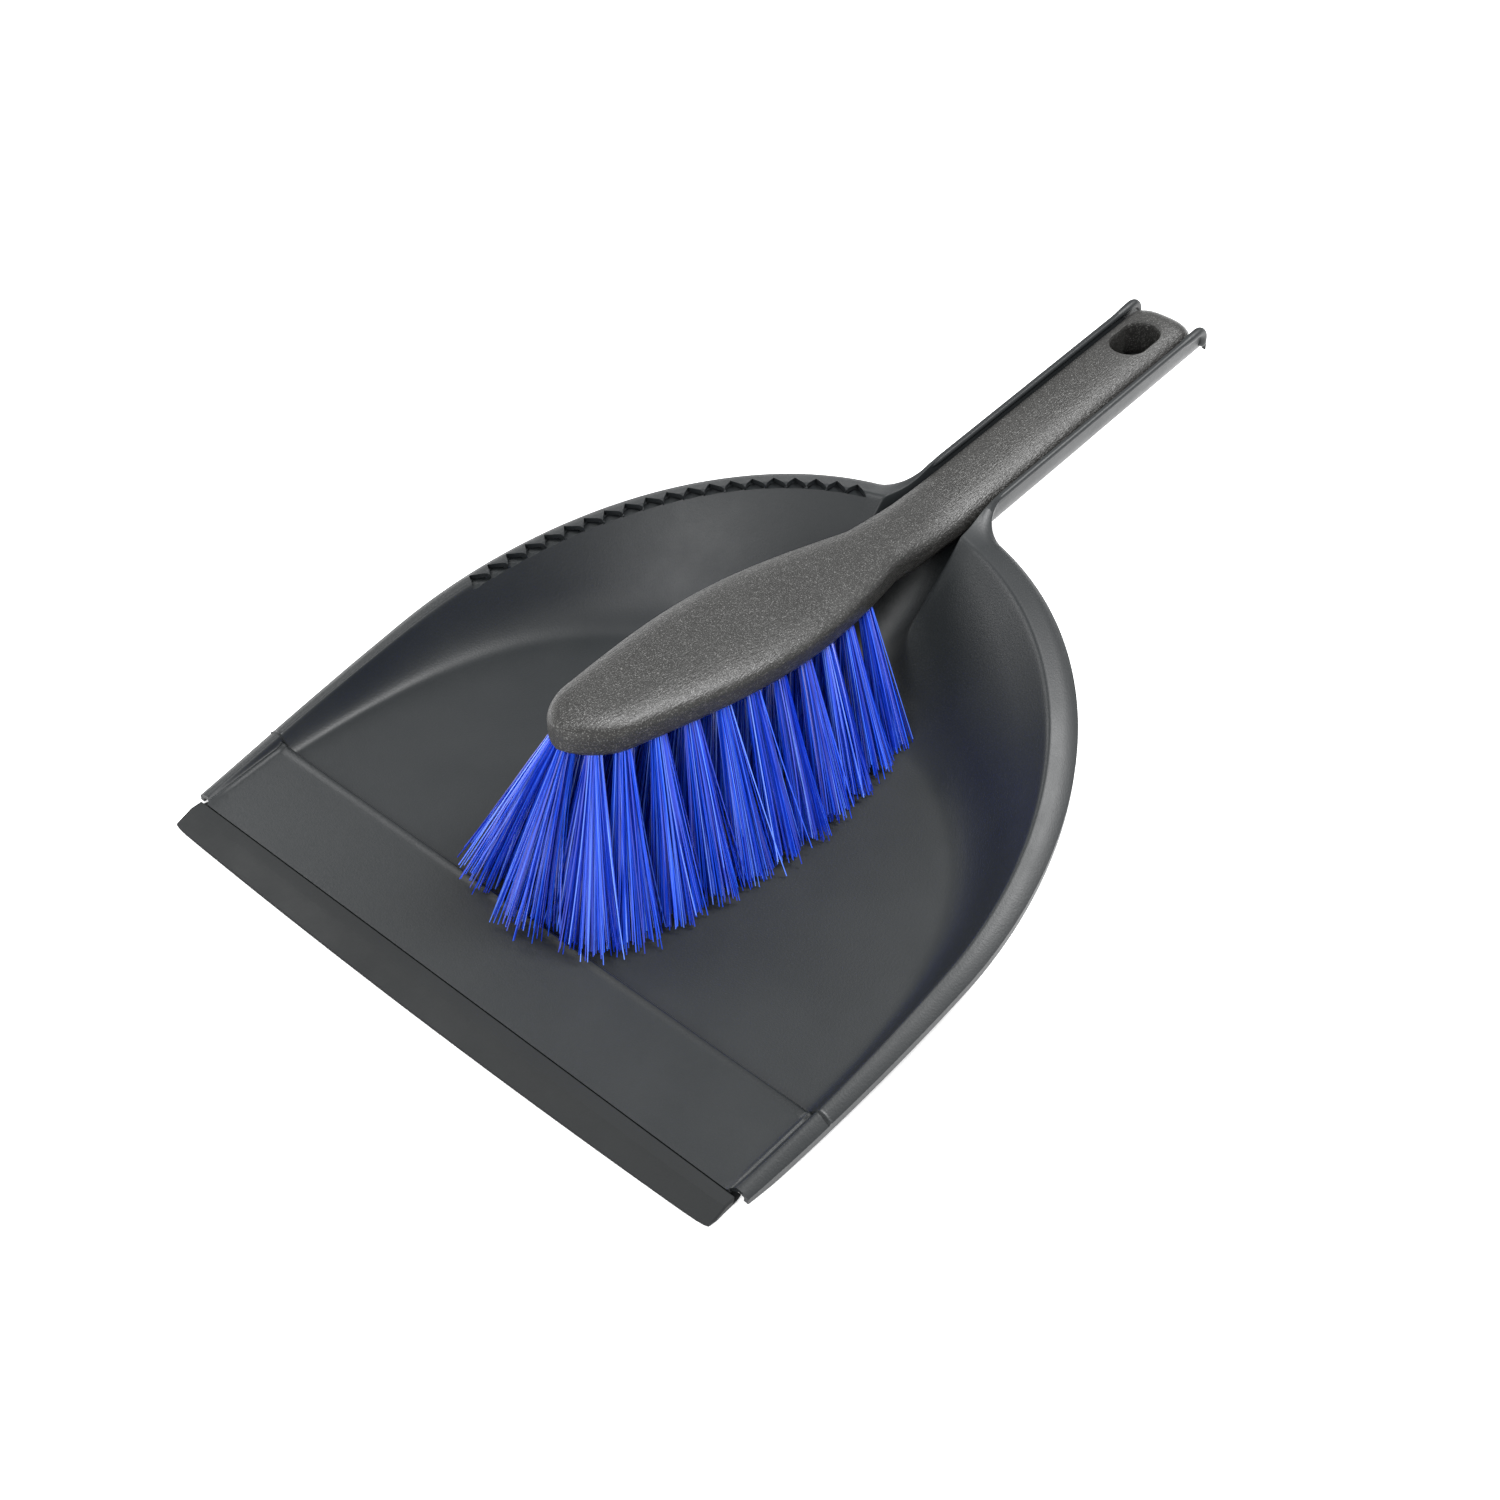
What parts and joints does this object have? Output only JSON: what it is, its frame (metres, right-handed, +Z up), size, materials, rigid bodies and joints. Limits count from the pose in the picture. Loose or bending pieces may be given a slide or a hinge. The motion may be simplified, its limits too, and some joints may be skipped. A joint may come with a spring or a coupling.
{
  "type": "dust pan and brush set",
  "caption": "Dust pan with a rubber lip and a comb along one rim, and a hand brush that lies in it with its handle in the pan's handle trough.",
  "frame": {"origin": "on the floor, under the middle of the set's bounding box", "axes": "+Z is up, -Y is the rubber lip at the pan's mouth, +Y is the end of the handles, +X is to the right seen from the lip"},
  "size_m": [0.22, 0.348, 0.0638],
  "materials": {
    "pan_plastic": "satin moulded polypropylene, anthracite with a slight blue-green tint and a fine even grain",
    "lip_rubber": "matte soft rubber, charcoal",
    "brush_plastic": "matte moulded plastic with fine lengthwise grain on top and a leathery speckle on its rounded edges",
    "anchor_steel": "bright drawn steel wire",
    "bristle": "vivid blue polyester filament with a soft sheen"
  },
  "bodies": {
    "pan_body": {"pan": "pan_plastic", "rubber_lip": "lip_rubber"},
    "brush": {"brush_body": "brush_plastic", "tuft_anchors": "anchor_steel", "tuft_nose": "bristle", "tuft_left_outer_01": "bristle", "tuft_left_outer_02": "bristle", "tuft_left_outer_03": "bristle", "tuft_left_outer_04": "bristle", "tuft_left_outer_05": "bristle", "tuft_left_outer_06": "bristle", "tuft_left_outer_07": "bristle", "tuft_left_outer_08": "bristle", "tuft_left_outer_09": "bristle", "tuft_left_outer_10": "bristle", "tuft_left_outer_11": "bristle", "tuft_right_outer_01": "bristle", "tuft_right_outer_02": "bristle", "tuft_right_outer_03": "bristle", "tuft_right_outer_04": "bristle", "tuft_right_outer_05": "bristle", "tuft_right_outer_06": "bristle", "tuft_right_outer_07": "bristle", "tuft_right_outer_08": "bristle", "tuft_right_outer_09": "bristle", "tuft_right_outer_10": "bristle", "tuft_right_outer_11": "bristle", "tuft_left_inner_01": "bristle", "tuft_left_inner_02": "bristle", "tuft_left_inner_03": "bristle", "tuft_left_inner_04": "bristle", "tuft_left_inner_05": "bristle", "tuft_left_inner_06": "bristle", "tuft_left_inner_07": "bristle", "tuft_left_inner_08": "bristle", "tuft_left_inner_09": "bristle", "tuft_left_inner_10": "bristle", "tuft_right_inner_01": "bristle", "tuft_right_inner_02": "bristle", "tuft_right_inner_03": "bristle", "tuft_right_inner_04": "bristle", "tuft_right_inner_05": "bristle", "tuft_right_inner_06": "bristle", "tuft_right_inner_07": "bristle", "tuft_right_inner_08": "bristle", "tuft_right_inner_09": "bristle", "tuft_right_inner_10": "bristle"}
  },
  "joints": [
    {"name": "brush_lift", "type": "slide", "parent": "pan_body", "child": "brush", "axis": [0, 0, 1], "range_m": [0, 0.1]}
  ]
}
